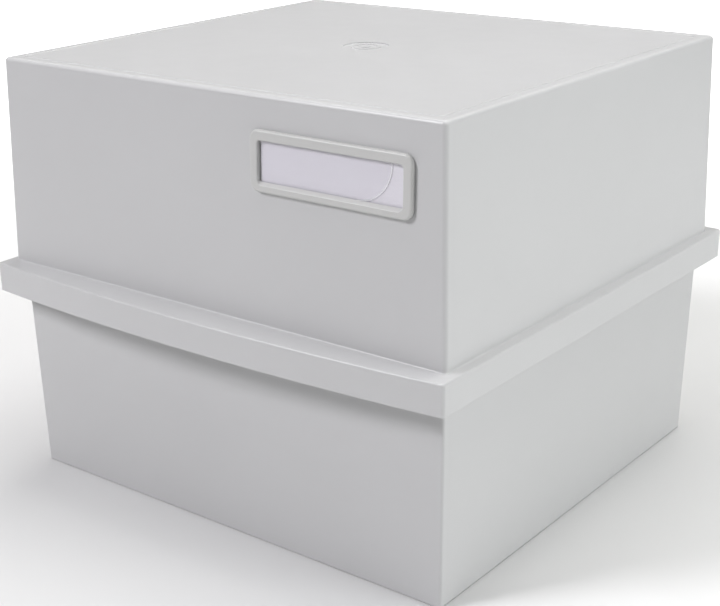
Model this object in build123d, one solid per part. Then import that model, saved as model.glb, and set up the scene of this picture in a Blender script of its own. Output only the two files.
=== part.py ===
from build123d import *
# Archive box for A4 cards: an open tray and a deep lift-off lid that meet in a broad, bowed band.
# Millimetres, +Z up. The origin is the middle of the footprint, on the surface the box stands on.
# The label face is the front, -Y. Each piece is a solid of its own, written to parts/NODE.step.
import os
from math import atan2, cos, radians, sin, tan

# Overall height, and the band where lid and tray meet
HEIGHT = 268.0
BAND_W = 339.3          # across the label face, X
BAND_D = 325.5          # front to back at the corners, Y
BOW = 8.0               # how far the front and back of the band stand out at their middle
BAND_BOTTOM = 122.0
LEDGE = 140.9           # the ledge's top where it meets the lid's wall
LEDGE_FALL = 0.6        # how much lower the ledge is at the band's outer edge
BAND_CORNER_R = 2.0
BAND_EDGE_R = 1.2

# Lid above the ledge, outside
LID_WALL = 2.5
LID_TOP_W, LID_TOP_D = 320.7, 298.0
LID_FOOT_W, LID_FOOT_D = 327.4, 305.0
LID_LEAN = atan2((LID_FOOT_D - LID_TOP_D) / 2, HEIGHT - LEDGE)
LID_CORNER_R = 2.6
LID_EDGE_R = 2.4
LEDGE_ROOT_R = 1.2

# Fine groove round the lid's top, and the moulding gate's mark in the middle
GROOVE_INSET = 8.0      # from the lid's top edge to the groove's middle line
GROOVE_W, GROOVE_DEPTH = 1.4, 0.45
GROOVE_CORNER_R = 4.0
GATE_DISH_R, GATE_RING_R, GATE_DEPTH = 14.5, 9.5, 0.7

# Tray, outside
TRAY_WALL = 2.5
TRAY_FLOOR = 3.0
TRAY_TOP = LEDGE - LEDGE_FALL - LID_WALL  # the lid's ledge rests on the tray's rim
TRAY_FOOT_W, TRAY_FOOT_D = 316.4, 292.8
TRAY_RIM_W, TRAY_RIM_D = 320.8, 296.3
TRAY_CORNER_R = 1.6
TRAY_FOOT_R = 0.6
FOOT_RIM, FOOT_RISE = 7.0, 1.0          # the box stands on a rim this wide, this high
FLOOR_Z = FOOT_RISE + TRAY_FLOOR
EJECTOR_R, EJECTOR_DEPTH = 4.0, 0.3     # round marks of the ejector pins, on floor and ceiling
EJECTOR_X, EJECTOR_Y = (-136, -68, 0, 68, 136), (-122, 0, 122)
RIM_GAP = 0.6           # between the tray's rim and the inside of the lid's band
RIM_T = 3.0
LIP_T, LIP_DROP = 2.2, 9.0
GUSSET_T = 1.6
GUSSET_X = (-135, -90, 90, 135)         # none in the middle, where the fingers go
GUSSET_Y = (-120, -60, 0, 60, 120)

# Support plates: folded sheet steel, each guided by two rails on the tray's floor
SHEET = 1.2
BEND_R = 2.4            # at the middle of the sheet
PLATE_W = 292.0
PLATE_TOP = 131.0
PLATE_LEAN = 10.0
FOLD_Y = 114.0          # from the middle of the box to the fold, at rest
FOOT_W, FOOT_L = 200.0, 46.0
FOOT_CORNER_R = 6.0
NECK_W = 192.0          # the upright's foot end, which passes between the rails' lips
RETURN = 6.0            # how far the folded side edges stand back
FLARE_START = 14.0      # up the plate, where it widens beyond its foot
GRIP_W, GRIP_H, GRIP_DROP = 70.0, 24.0, 24.0
FOOT_CLEARANCE = 0.05
RAIL_GAP = 0.4          # beside and above the foot
RAIL_T, RAIL_LIP = 2.0, 3.0
RAIL_LENGTH = 250.0

# Label frame, snapped into a seat in the lid's front wall
LABEL_X, LABEL_Z = 90.4, 233.2          # its middle
FRAME_W, FRAME_H, FRAME_R = 104.9, 33.3, 5.5
FRAME_PROUD = 2.8
RELIEF_W, RELIEF_H = 2.4, 0.4           # cut behind the right and lower edges, to prise the frame off
FRAME_EDGE_R = 1.3
POCKET_W, POCKET_H, POCKET_R = 94.0, 22.1, 2.0
POCKET_EDGE_R = 0.8     # round the pocket's mouth
POCKET_FLOOR = 0.0      # level with the lid's wall
SILL_DROP, SILL_DEPTH = 1.9, 1.6        # the pocket's lower edge slopes down to the card
TUCK, TUCK_H = 0.8, 1.0  # undercut above and below the pocket that holds card and window
PLUG_W, PLUG_H, PLUG_R = 97.0, 26.8, 3.0
PLUG_GAP = 0.2
PLUG_BEHIND = 1.4       # past the inside of the lid's wall
PLUG_BACK = 1.2
HOOK_X = (-36.0, 0.0, 36.0)
HOOK_W, HOOK_T, HOOK_REACH = 12.0, 1.2, 1.0
PRY_GAP = 0.8           # open slot left of the card
CARD_T, WINDOW_T = 0.3, 0.5
INSERT_GAP = 0.15
SHEET_GAP = 0.02        # between the pocket's floor, the card and the window
FINGER_CUT = 7.6        # the window stops this far short of the card's right end
WINDOW_R = 21.5         # its lower right corner, which leaves the card free to be pushed out

STANDING = (Align.CENTER, Align.CENTER, Align.MIN)


def lid_size(z):
    """Width and depth of the lid's upper part at height z."""
    t = (z - LEDGE) / (HEIGHT - LEDGE)
    return LID_FOOT_W + t * (LID_TOP_W - LID_FOOT_W), LID_FOOT_D + t * (LID_TOP_D - LID_FOOT_D)


def tray_size(z):
    """Width and depth of the tray at height z."""
    t = z / TRAY_TOP
    return TRAY_FOOT_W + t * (TRAY_RIM_W - TRAY_FOOT_W), TRAY_FOOT_D + t * (TRAY_RIM_D - TRAY_FOOT_D)


def tapered_block(size_at, inset, bottom, top, corner_r):
    """Solid between two heights, whose outline is that of size_at set in by inset."""
    ends = []
    for z in (bottom, top):
        width, depth = size_at(z)
        ends.append(Plane.XY.offset(z) * RectangleRounded(width - 2 * inset, depth - 2 * inset, corner_r))
    return loft(ends, ruled=True)


def bowed_face(inset, z, corner_r):
    """The band's outline set in by inset: straight sides, front and back in shallow arcs."""
    x, y = BAND_W / 2 - inset, BAND_D / 2 - inset
    outline = [
        ThreePointArc((-x, -y), (0, -y - BOW), (x, -y)),
        Line((x, -y), (x, y)),
        ThreePointArc((x, y), (0, y + BOW), (-x, y)),
        Line((-x, y), (-x, -y)),
    ]
    face = make_face(outline)
    return Plane.XY.offset(z) * fillet(face.vertices(), corner_r)


def bowed_block(inset, bottom, top, corner_r):
    """Solid with the band's outline, set in by inset."""
    return extrude(bowed_face(inset, bottom, corner_r), top - bottom)


def edges_at(body, z):
    """Edges that lie wholly at height z."""
    return [e for e in body.edges() if all(abs((e @ t).Z - z) < 0.05 for t in (0, 0.5, 1))]


def lid():
    upper = tapered_block(lid_size, 0, LEDGE, HEIGHT, LID_CORNER_R)
    upper = fillet(edges_at(upper, HEIGHT), LID_EDGE_R)
    body = upper + band()
    root = [e for e in edges_at(body, LEDGE)
            if abs((e @ 0.5).X) < LID_FOOT_W / 2 + 1 and abs((e @ 0.5).Y) < LID_FOOT_D / 2 + 1]
    body = fillet(root, LEDGE_ROOT_R)

    body -= tapered_block(lid_size, LID_WALL, TRAY_TOP, HEIGHT - LID_WALL, 1.0)
    body -= bowed_block(LID_WALL, BAND_BOTTOM - 1, TRAY_TOP, 1.0)
    body -= groove() + gate_mark() + ejector_marks(HEIGHT - LID_WALL)
    seat = RectangleRounded(PLUG_W + 2 * PLUG_GAP, PLUG_H + 2 * PLUG_GAP, PLUG_R + PLUG_GAP)
    return body - on_wall(seat, -2 * LID_WALL, 1)


def band():
    """The lid's skirt, with a ledge on top that falls a little towards its outer edge."""
    edge = LEDGE - LEDGE_FALL
    skirt = bowed_block(0, BAND_BOTTOM, edge, BAND_CORNER_R)
    root = Plane.XY.offset(LEDGE) * RectangleRounded(LID_FOOT_W, LID_FOOT_D, LID_CORNER_R)
    body = skirt + loft([bowed_face(0, edge, BAND_CORNER_R), root], ruled=True)
    body = fillet(edges_at(body, edge), BAND_EDGE_R)
    return fillet(edges_at(body, BAND_BOTTOM), 0.3)


def groove():
    """Fine groove with sloping sides, parallel to the lid's top edges."""
    width, depth = LID_TOP_W - 2 * GROOVE_INSET, LID_TOP_D - 2 * GROOVE_INSET
    bottom = Plane.XY.offset(HEIGHT - GROOVE_DEPTH)
    half = GROOVE_W / 2 - GROOVE_DEPTH
    outer = RectangleRounded(width + 2 * half, depth + 2 * half, GROOVE_CORNER_R + half)
    inner = RectangleRounded(width - 2 * half, depth - 2 * half, GROOVE_CORNER_R - half)
    return extrude(bottom * outer, 2 * GROOVE_DEPTH, taper=-45) - extrude(bottom * inner, 2 * GROOVE_DEPTH, taper=45)


def ejector_marks(z):
    """Shallow round marks centred on height z, in rows."""
    return Part() + [Pos(x, y, z) * Cylinder(EJECTOR_R, 2 * EJECTOR_DEPTH) for x in EJECTOR_X for y in EJECTOR_Y]


def gate_mark():
    """Shallow dish left by the moulding gate, with a raised ring and stub in it."""
    raised = GATE_DEPTH * 0.6
    dish = Cylinder(GATE_DISH_R, 1, align=STANDING)
    dish -= Cylinder(GATE_RING_R, raised, align=STANDING)
    dish += Cylinder(GATE_RING_R - 2.2, 1, align=STANDING)
    dish -= Cylinder(3.0, raised, align=STANDING)
    return Pos(0, 0, HEIGHT - GATE_DEPTH) * dish


def tray():
    body = tapered_block(tray_size, 0, 0, TRAY_TOP, TRAY_CORNER_R)
    body = fillet(edges_at(body, 0), TRAY_FOOT_R)
    body += rim() + gussets()

    inside = tapered_block(tray_size, TRAY_WALL, FLOOR_Z, TRAY_TOP + 1, 1.5)
    body -= fillet(edges_at(inside, FLOOR_Z), 1.0)
    recess = RectangleRounded(TRAY_FOOT_W - 2 * FOOT_RIM, TRAY_FOOT_D - 2 * FOOT_RIM, 4)
    body -= extrude(Plane.XY * recess, FOOT_RISE)
    body -= ejector_marks(FLOOR_Z)
    return body + rail(-1) + rail(1)


def rim():
    """Flange round the tray's mouth that fills the lid's band, with its outer edge turned down."""
    inset = LID_WALL + RIM_GAP
    flange = bowed_block(inset, TRAY_TOP - LIP_DROP, TRAY_TOP, 1.2)
    flange = fillet(edges_at(flange, TRAY_TOP), 0.8)
    return flange - bowed_block(inset + LIP_T, TRAY_TOP - LIP_DROP - 1, TRAY_TOP - RIM_T, 1.0)


def gussets():
    """Small webs that tie the rim's turned-down edge to the tray's wall."""
    bottom, top = TRAY_TOP - LIP_DROP + 1, TRAY_TOP - RIM_T + 0.5
    inset = LID_WALL + RIM_GAP + LIP_T - 0.5
    z, height = (bottom + top) / 2, top - bottom
    webs = []
    for side in (-1, 1):
        for x in GUSSET_X:
            start = TRAY_RIM_D / 2 - 1
            reach = BAND_D / 2 - inset + BOW * (1 - (2 * x / BAND_W) ** 2)
            webs.append(Pos(x, side * (start + reach) / 2, z) * Box(GUSSET_T, reach - start, height))
        for y in GUSSET_Y:
            start, reach = TRAY_RIM_W / 2 - 1, BAND_W / 2 - inset
            webs.append(Pos(side * (start + reach) / 2, y, z) * Box(reach - start, GUSSET_T, height))
    return Part() + webs


def rail(side):
    """L-shaped rail on the floor whose lip reaches over the edge of the plates' feet."""
    inner = FOOT_W / 2 + RAIL_GAP
    lip_z = FLOOR_Z + FOOT_CLEARANCE + SHEET + RAIL_GAP
    post = Pos(side * (inner + RAIL_T / 2), 0, FLOOR_Z - 0.5) * Box(
        RAIL_T, RAIL_LENGTH, lip_z + RAIL_T - FLOOR_Z + 0.5, align=STANDING)
    lip = Pos(side * (inner + (RAIL_T - RAIL_LIP) / 2), 0, lip_z) * Box(
        RAIL_T + RAIL_LIP, RAIL_LENGTH, RAIL_T, align=STANDING)
    return post + lip


def support_plate(side):
    """Folded steel plate: a foot under the cards and an upright that leans outwards.

    side is -1 for the front plate and 1 for the rear one.
    """
    lean = radians(PLATE_LEAN)
    sheet_z = FLOOR_Z + FOOT_CLEARANCE + SHEET / 2
    length = (PLATE_TOP - sheet_z) / cos(lean)

    def up_plate(distance):
        """Plane square to the upright, at a distance up it from the fold; its y points outwards."""
        origin = (0, FOLD_Y + distance * sin(lean), sheet_z + distance * cos(lean))
        return Plane(origin, x_dir=(1, 0, 0), z_dir=(0, sin(lean), cos(lean)))

    top = up_plate(length).origin
    foot_end = FOLD_Y - BEND_R
    foot = Rectangle(FOOT_W, FOOT_L - BEND_R)
    foot = fillet(foot.vertices().group_by(Axis.Y)[0], FOOT_CORNER_R)
    foot_y = foot_end - (FOOT_L - BEND_R) / 2
    body = extrude(Plane((0, foot_y, sheet_z)) * foot, SHEET / 2, both=True)
    fold = FilletPolyline((foot_end - 5, sheet_z), (FOLD_Y, sheet_z), (top.Y, top.Z), radius=BEND_R)
    body += extrude(Plane.YZ * trace(fold, SHEET), NECK_W / 2, both=True)

    half = PLATE_W / 2
    channel = FilletPolyline((-half, RETURN), (-half, 0), (half, 0), (half, RETURN), radius=BEND_R)
    body += extrude(up_plate(FLARE_START) * trace(channel, SHEET), length - FLARE_START)

    grip = up_plate(length - GRIP_DROP)
    slot = Plane(grip.origin, x_dir=(1, 0, 0), z_dir=(0, cos(lean), -sin(lean)))
    body -= extrude(slot * SlotOverall(GRIP_W, GRIP_H), 5, both=True)
    return Rot(0, 0, 0 if side > 0 else 180) * body


def wall_plane():
    """Plane on the lid's leaning front wall at the label's middle: x across, y up, z outwards."""
    wall_y = LID_FOOT_D / 2 - (LABEL_Z - LEDGE) * tan(LID_LEAN)
    return Plane((LABEL_X, -wall_y, LABEL_Z), x_dir=(1, 0, 0), z_dir=(0, -cos(LID_LEAN), sin(LID_LEAN)))


def on_wall(sketch, low, high):
    """Sketch on the lid's front wall, extruded from low to high along the outward normal."""
    return extrude(wall_plane().offset(low) * sketch, high - low)


def front_edges(body):
    """Wires round the face that lies furthest out from the lid's front wall: the outer one first."""
    face = body.faces().sort_by(Axis((0, 0, 0), wall_plane().z_dir))[-1]
    return [face.outer_wire()] + face.inner_wires()


def label_frame():
    outline = RectangleRounded(FRAME_W, FRAME_H, FRAME_R)
    bezel = on_wall(outline, 0, FRAME_PROUD)
    bezel = fillet(front_edges(bezel)[0].edges(), FRAME_EDGE_R)
    bezel -= on_wall(outline - Pos(-RELIEF_W, RELIEF_W) * outline, -1, RELIEF_H)
    plug = on_wall(RectangleRounded(PLUG_W, PLUG_H, PLUG_R), -LID_WALL - PLUG_BEHIND, 0)
    hooks = [on_wall(Pos(x, side * (PLUG_H + HOOK_REACH) / 2) * Rectangle(HOOK_W, HOOK_REACH),
                     -LID_WALL - PLUG_BEHIND, -LID_WALL - PLUG_BEHIND + HOOK_T)
             for x in HOOK_X for side in (-1, 1)]
    body = bezel + plug + hooks

    body -= on_wall(RectangleRounded(POCKET_W, POCKET_H, POCKET_R), POCKET_FLOOR, FRAME_PROUD) + sill()
    body = fillet(front_edges(body)[1].edges(), POCKET_EDGE_R)
    body -= on_wall(Rectangle(POCKET_W, POCKET_H + 2 * TUCK), POCKET_FLOOR, POCKET_FLOOR + TUCK_H)
    slot_x = (PRY_GAP - POCKET_W) / 2
    body -= on_wall(Pos(slot_x, 0) * Rectangle(PRY_GAP, POCKET_H - 4), -LID_WALL, POCKET_FLOOR)
    hollow = Rectangle(PLUG_W - 2 * PLUG_BACK, PLUG_H - 2 * PLUG_BACK)
    return body - on_wall(hollow, -LID_WALL - PLUG_BEHIND - 1, -PLUG_BACK)


def sill():
    """Opens the pocket towards the face, mostly downwards."""
    low = wall_plane().offset(FRAME_PROUD - SILL_DEPTH)
    high = wall_plane().offset(FRAME_PROUD)
    mouth = Pos(0, -SILL_DROP / 2) * RectangleRounded(POCKET_W, POCKET_H + SILL_DROP, POCKET_R + 1)
    return loft([low * RectangleRounded(POCKET_W, POCKET_H, POCKET_R), high * mouth], ruled=True)


def insert_sketch():
    """Outline that the card has, tucked under the pocket's upper and lower edges."""
    width = POCKET_W - PRY_GAP - INSERT_GAP
    height = POCKET_H + 2 * TUCK - 2 * INSERT_GAP
    return Pos((PRY_GAP - INSERT_GAP) / 2, 0) * Rectangle(width, height)


def label_card():
    low = POCKET_FLOOR + SHEET_GAP
    return on_wall(insert_sketch(), low, low + CARD_T)


def label_window():
    """Clear film over the card, cut short and broadly rounded at its lower right."""
    low = POCKET_FLOOR + CARD_T + 2 * SHEET_GAP
    sketch = insert_sketch() & (Pos(-FINGER_CUT, 0) * Rectangle(POCKET_W, 2 * POCKET_H))
    corner = sketch.vertices().group_by(Axis.Y)[0].sort_by(Axis.X)[-1]
    return on_wall(fillet(corner, WINDOW_R), low, low + WINDOW_T)


def main():
    os.makedirs("parts", exist_ok=True)
    pieces = {
        "tray": tray(),
        "lid": lid(),
        "front_support_plate": support_plate(-1),
        "rear_support_plate": support_plate(1),
        "label_frame": label_frame(),
        "label_card": label_card(),
        "label_window": label_window(),
    }
    for name, piece in pieces.items():
        export_step(piece, f"parts/{name}.step")


main()
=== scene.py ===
import math

import bpy
from mathutils import Matrix, Vector


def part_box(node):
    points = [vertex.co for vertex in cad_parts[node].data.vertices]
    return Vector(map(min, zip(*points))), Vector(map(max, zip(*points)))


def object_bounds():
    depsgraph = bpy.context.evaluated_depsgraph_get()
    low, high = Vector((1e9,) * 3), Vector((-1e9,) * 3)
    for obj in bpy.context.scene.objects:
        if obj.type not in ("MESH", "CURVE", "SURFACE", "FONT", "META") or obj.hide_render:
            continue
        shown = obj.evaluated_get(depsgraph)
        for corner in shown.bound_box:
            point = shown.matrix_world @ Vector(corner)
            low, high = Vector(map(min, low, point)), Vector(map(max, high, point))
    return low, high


# An archive box with a lift-off lid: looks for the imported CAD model. Metres, Z up, label face to -Y.
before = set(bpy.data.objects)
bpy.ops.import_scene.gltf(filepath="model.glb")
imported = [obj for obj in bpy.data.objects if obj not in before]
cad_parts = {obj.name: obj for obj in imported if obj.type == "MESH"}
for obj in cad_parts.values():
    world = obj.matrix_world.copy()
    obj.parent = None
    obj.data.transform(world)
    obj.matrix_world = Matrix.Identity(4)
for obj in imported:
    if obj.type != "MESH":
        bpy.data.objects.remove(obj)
cad_low, cad_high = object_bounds()

# Camera, from the front right and above: angles in degrees, lens and sensor in millimetres
CAMERA_AZIMUTH, CAMERA_ELEVATION, CAMERA_ROLL = 38.43, 21.68, -1.01
CAMERA_AT = (0.5252, -0.6929, 0.4117)
CAMERA_LENS, SENSOR = 70.25, 36.0
CAMERA_SHIFT = (0.0282, 0.0687)

# Stage: the floor is seen white beyond GLOW_TO from the box's middle, and the world is faint as a light
FLOOR_SIZE, FLOOR_GAP = 60, 0.0003
GLOW_FROM, GLOW_TO = 0.25, 1.4
AMBIENT = 0.02

# The label film's lower right corner, and the width of the painted highlight along its cut edge
FILM_CORNER_R, FILM_HIGHLIGHT_WIDTH = 0.0215, 0.0009

# Linear base colours of the two plastics
BOX_GREY = (0.58, 0.58, 0.585)
FRAME_GREY = (0.575, 0.575, 0.565)


# ---------------------------------------------------------------- node helpers

class Shader:
    """One material, built round its Principled shader."""

    def __init__(self, name):
        self.material = bpy.data.materials.new(name)
        self.material.use_nodes = True
        self.tree = self.material.node_tree
        self.surface = self.tree.nodes["Principled BSDF"]
        self.place = self.node("ShaderNodeTexCoord").outputs["Object"]

    def node(self, kind, **settings):
        made = self.tree.nodes.new(kind)
        for key, value in settings.items():
            setattr(made, key, value)
        return made

    def link(self, source, target):
        self.tree.links.new(source, target)

    def set(self, **values):
        """Constant values on the shader's own sockets."""
        for key, value in values.items():
            self.surface.inputs[key.replace("_", " ")].default_value = value

    def drive(self, socket, source):
        """Feeds one of the shader's sockets from a node's output."""
        self.link(source, self.surface.inputs[socket])

    def calculate(self, operation, first, second):
        """Math node on an output and a second output or number."""
        made = self.node("ShaderNodeMath", operation=operation)
        self.link(first, made.inputs[0])
        if isinstance(second, bpy.types.NodeSocket):
            self.link(second, made.inputs[1])
        else:
            made.inputs[1].default_value = second
        return made.outputs["Value"]

    def vector(self, operation, first, second):
        """Vector Math node on an output and a fixed vector."""
        made = self.node("ShaderNodeVectorMath", operation=operation)
        self.link(first, made.inputs[0])
        made.inputs[1].default_value = second
        return made.outputs["Vector"]

    def length(self, vector):
        made = self.node("ShaderNodeVectorMath", operation="LENGTH")
        self.link(vector, made.inputs[0])
        return made.outputs["Value"]

    def noise(self, scale, detail=3.0, stretch=(1, 1, 1)):
        """Noise in object coordinates, which are first multiplied by stretch along each axis."""
        made = self.node("ShaderNodeTexNoise")
        made.inputs["Scale"].default_value = scale
        made.inputs["Detail"].default_value = detail
        self.link(self.vector("MULTIPLY", self.place, stretch), made.inputs["Vector"])
        return made.outputs["Fac"]

    def ramp(self, value, low, high):
        """Colour ramp between two stops, each a position and a number or a colour."""
        made = self.node("ShaderNodeValToRGB")
        for element, (position, colour) in zip(made.color_ramp.elements, (low, high)):
            element.position = position
            element.color = (colour,) * 3 + (1,) if isinstance(colour, float) else (*colour, 1)
        self.link(value, made.inputs["Fac"])
        return made.outputs["Color"]

    def bumps(self, *layers):
        """Stacks (height, strength, distance) layers into one normal."""
        normal = None
        for height, strength, distance in layers:
            made = self.node("ShaderNodeBump")
            made.inputs["Strength"].default_value = strength
            made.inputs["Distance"].default_value = distance
            self.link(height, made.inputs["Height"])
            if normal:
                self.link(normal, made.inputs["Normal"])
            normal = made.outputs["Normal"]
        self.drive("Normal", normal)


# ---------------------------------------------------------------- materials

def moulded_plastic(name, colour):
    """Light grey moulded polystyrene: satin, with a fine grain and faint flow waves.

    Its roughness stays above 0.28, because the denoiser leaves spots where it crosses about 0.27.
    """
    m = Shader(name)
    darker, lighter = (tuple(shade * c for c in colour) for shade in (0.985, 1.012))
    m.drive("Base Color", m.ramp(m.noise(9, detail=4), (0.3, darker), (0.7, lighter)))
    m.drive("Roughness", m.ramp(m.noise(60, detail=5), (0.3, 0.31), (0.7, 0.36)))
    waves = m.noise(14, detail=2)
    grain = m.noise(2400, detail=2)
    m.bumps((waves, 0.04, 0.0010), (grain, 0.10, 0.00005))
    return m.material


def label_paper():
    """Plain white card with faint lying fibres."""
    m = Shader("white label paper")
    m.set(Specular_IOR_Level=0.3, Roughness=0.8)
    fibres = m.noise(420, stretch=(1, 1, 2.5))
    m.drive("Base Color", m.ramp(fibres, (0.3, (0.75, 0.73, 0.785)), (0.7, (0.77, 0.75, 0.805))))
    m.bumps((fibres, 0.06, 0.00004))
    return m.material


def clear_film():
    """Clear film with a painted highlight along its rounded free end: a paler, more opaque border where
    its cut edge catches light.
    """
    m = Shader("clear film")
    m.set(Roughness=0.08)
    painted_edge_highlight = film_edge_highlight(m)
    # Painted highlight: the border strip is paler and more opaque, standing in for the light the film's
    # cut edge catches
    m.drive("Base Color", m.ramp(painted_edge_highlight, (0.0, (0.84, 0.83, 0.88)), (1.0, (0.95, 0.95, 0.97))))
    m.drive("Alpha", m.ramp(painted_edge_highlight, (0.0, 0.12), (1.0, 0.4)))
    m.bumps((m.noise(40, detail=1), 0.08, 0.0004))
    return m.material


def film_edge_highlight(m):
    """Mask of the painted edge highlight: 1 on the border outside the rounded corner's arc and right of
    its centre, 0 elsewhere.
    """
    low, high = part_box("label_window")
    offset = m.vector("SUBTRACT", m.place, (high.x - FILM_CORNER_R, 0, low.z + FILM_CORNER_R))
    reach = m.length(m.vector("MULTIPLY", offset, (1, 0, 1)))
    parts = m.node("ShaderNodeSeparateXYZ")
    m.link(offset, parts.inputs[0])
    outer = m.calculate("GREATER_THAN", reach, FILM_CORNER_R - FILM_HIGHLIGHT_WIDTH)
    right = m.calculate("GREATER_THAN", parts.outputs["X"], 0)
    return m.calculate("MULTIPLY", outer, right)


def powder_coated_steel():
    """Mid grey powder coat with its orange-peel texture."""
    m = Shader("powder coated steel")
    shade = m.noise(30, detail=4)
    m.drive("Base Color", m.ramp(shade, (0.3, (0.165, 0.17, 0.175)), (0.7, (0.185, 0.19, 0.195))))
    m.drive("Roughness", m.ramp(m.noise(80), (0.3, 0.42), (0.7, 0.5)))
    m.bumps((m.noise(700, detail=2), 0.35, 0.00012))
    return m.material


def dress(node, material):
    """Gives a CAD node its material in every slot."""
    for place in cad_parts[node].material_slots:
        place.material = material


# ---------------------------------------------------------------- stage, lights, camera

def floor():
    """Pale floor that is seen brighter with distance, so that it runs out into the white surroundings."""
    bpy.ops.mesh.primitive_plane_add(size=FLOOR_SIZE, location=(0, 0, cad_low.z - FLOOR_GAP))
    plane = bpy.context.object
    plane.name = "floor"
    m = Shader("pale floor")
    m.set(Roughness=0.75, Specular_IOR_Level=0.2, Emission_Color=(1, 1, 1, 1))
    m.drive("Base Color", m.ramp(m.noise(3, detail=2), (0.3, 0.70), (0.7, 0.72)))
    glow = m.node("ShaderNodeMapRange", interpolation_type="SMOOTHSTEP")
    m.link(m.length(m.place), glow.inputs["Value"])
    glow.inputs["From Min"].default_value = GLOW_FROM
    glow.inputs["From Max"].default_value = GLOW_TO
    seen = m.node("ShaderNodeLightPath").outputs["Is Camera Ray"]
    m.drive("Emission Strength", m.calculate("MULTIPLY", glow.outputs["Result"], seen))
    plane.data.materials.append(m.material)


def softbox(name, centre, target, size, power, colour=(1, 1, 1)):
    """Rectangular area light at centre that faces target."""
    light = bpy.data.lights.new(name, "AREA")
    light.shape = "RECTANGLE"
    light.size, light.size_y = size
    light.energy = power
    light.color = colour
    holder = bpy.data.objects.new(name, light)
    holder.location = centre
    holder.rotation_euler = (Vector(target) - Vector(centre)).to_track_quat("-Z", "Y").to_euler()
    bpy.context.scene.collection.objects.link(holder)


def lights():
    """Soft studio light: a broad key from the upper front left, and fills overhead and at the right."""
    softbox("key softbox", (-2.25, -3.27, 3.17), (0, 0, 0.12), (1.3, 1.3), 163, (0.98, 0.97, 1.0))
    softbox("overhead softbox", (0.1, 0.9, 2.4), (0, 0.2, 0.2), (1.8, 1.8), 34, (1.0, 0.985, 0.95))
    softbox("top softbox", (0, 0.1, 2), (0, 0.1, 0.2), (1.8, 1.8), 20)
    softbox("high right softbox", (1.2, 0.3, 1.1), (0, 0, 0.15), (0.8, 0.8), 3.0, (0.9, 0.95, 1.0))
    softbox("right softbox", (3.0, 0.3, 0.9), (0, 0, 0.12), (1.6, 1.4), 42, (0.98, 1.0, 0.98))


def surroundings():
    """White to look at, but nearly dark as a light, because the softboxes do the lighting."""
    world = bpy.data.worlds.new("studio")
    bpy.context.scene.world = world
    world.use_nodes = True
    tree = world.node_tree
    sky = tree.nodes["Background"]
    sky.inputs["Color"].default_value = (1, 1, 1, 1)
    rays = tree.nodes.new("ShaderNodeLightPath")
    strength = tree.nodes.new("ShaderNodeMapRange")
    strength.inputs["To Min"].default_value = AMBIENT
    tree.links.new(rays.outputs["Is Camera Ray"], strength.inputs["Value"])
    tree.links.new(strength.outputs["Result"], sky.inputs["Strength"])


def camera():
    az, el, roll = (math.radians(a) for a in (CAMERA_AZIMUTH, CAMERA_ELEVATION, CAMERA_ROLL))
    back = Vector((math.sin(az) * math.cos(el), -math.cos(az) * math.cos(el), math.sin(el)))
    right = Vector((math.cos(az), math.sin(az), 0))
    up = back.cross(right)
    across = math.cos(roll) * right + math.sin(roll) * up
    upright = math.cos(roll) * up - math.sin(roll) * right
    turn = Matrix((across, upright, back)).transposed().to_4x4()
    lens = bpy.data.cameras.new("camera")
    lens.lens, lens.sensor_width = CAMERA_LENS, SENSOR
    lens.shift_x, lens.shift_y = CAMERA_SHIFT
    eye = bpy.data.objects.new("camera", lens)
    eye.matrix_world = Matrix.Translation(CAMERA_AT) @ turn
    bpy.context.scene.collection.objects.link(eye)
    bpy.context.scene.camera = eye


# ---------------------------------------------------------------- the scene

for node in ("lid", "tray"):
    dress(node, moulded_plastic(f"{node} plastic", BOX_GREY))
dress("label_frame", moulded_plastic("label frame plastic", FRAME_GREY))
dress("label_card", label_paper())
dress("label_window", clear_film())
for node in ("front_support_plate", "rear_support_plate"):
    dress(node, powder_coated_steel())

floor()
lights()
surroundings()
camera()
bpy.context.scene.view_settings.view_transform = "Standard"
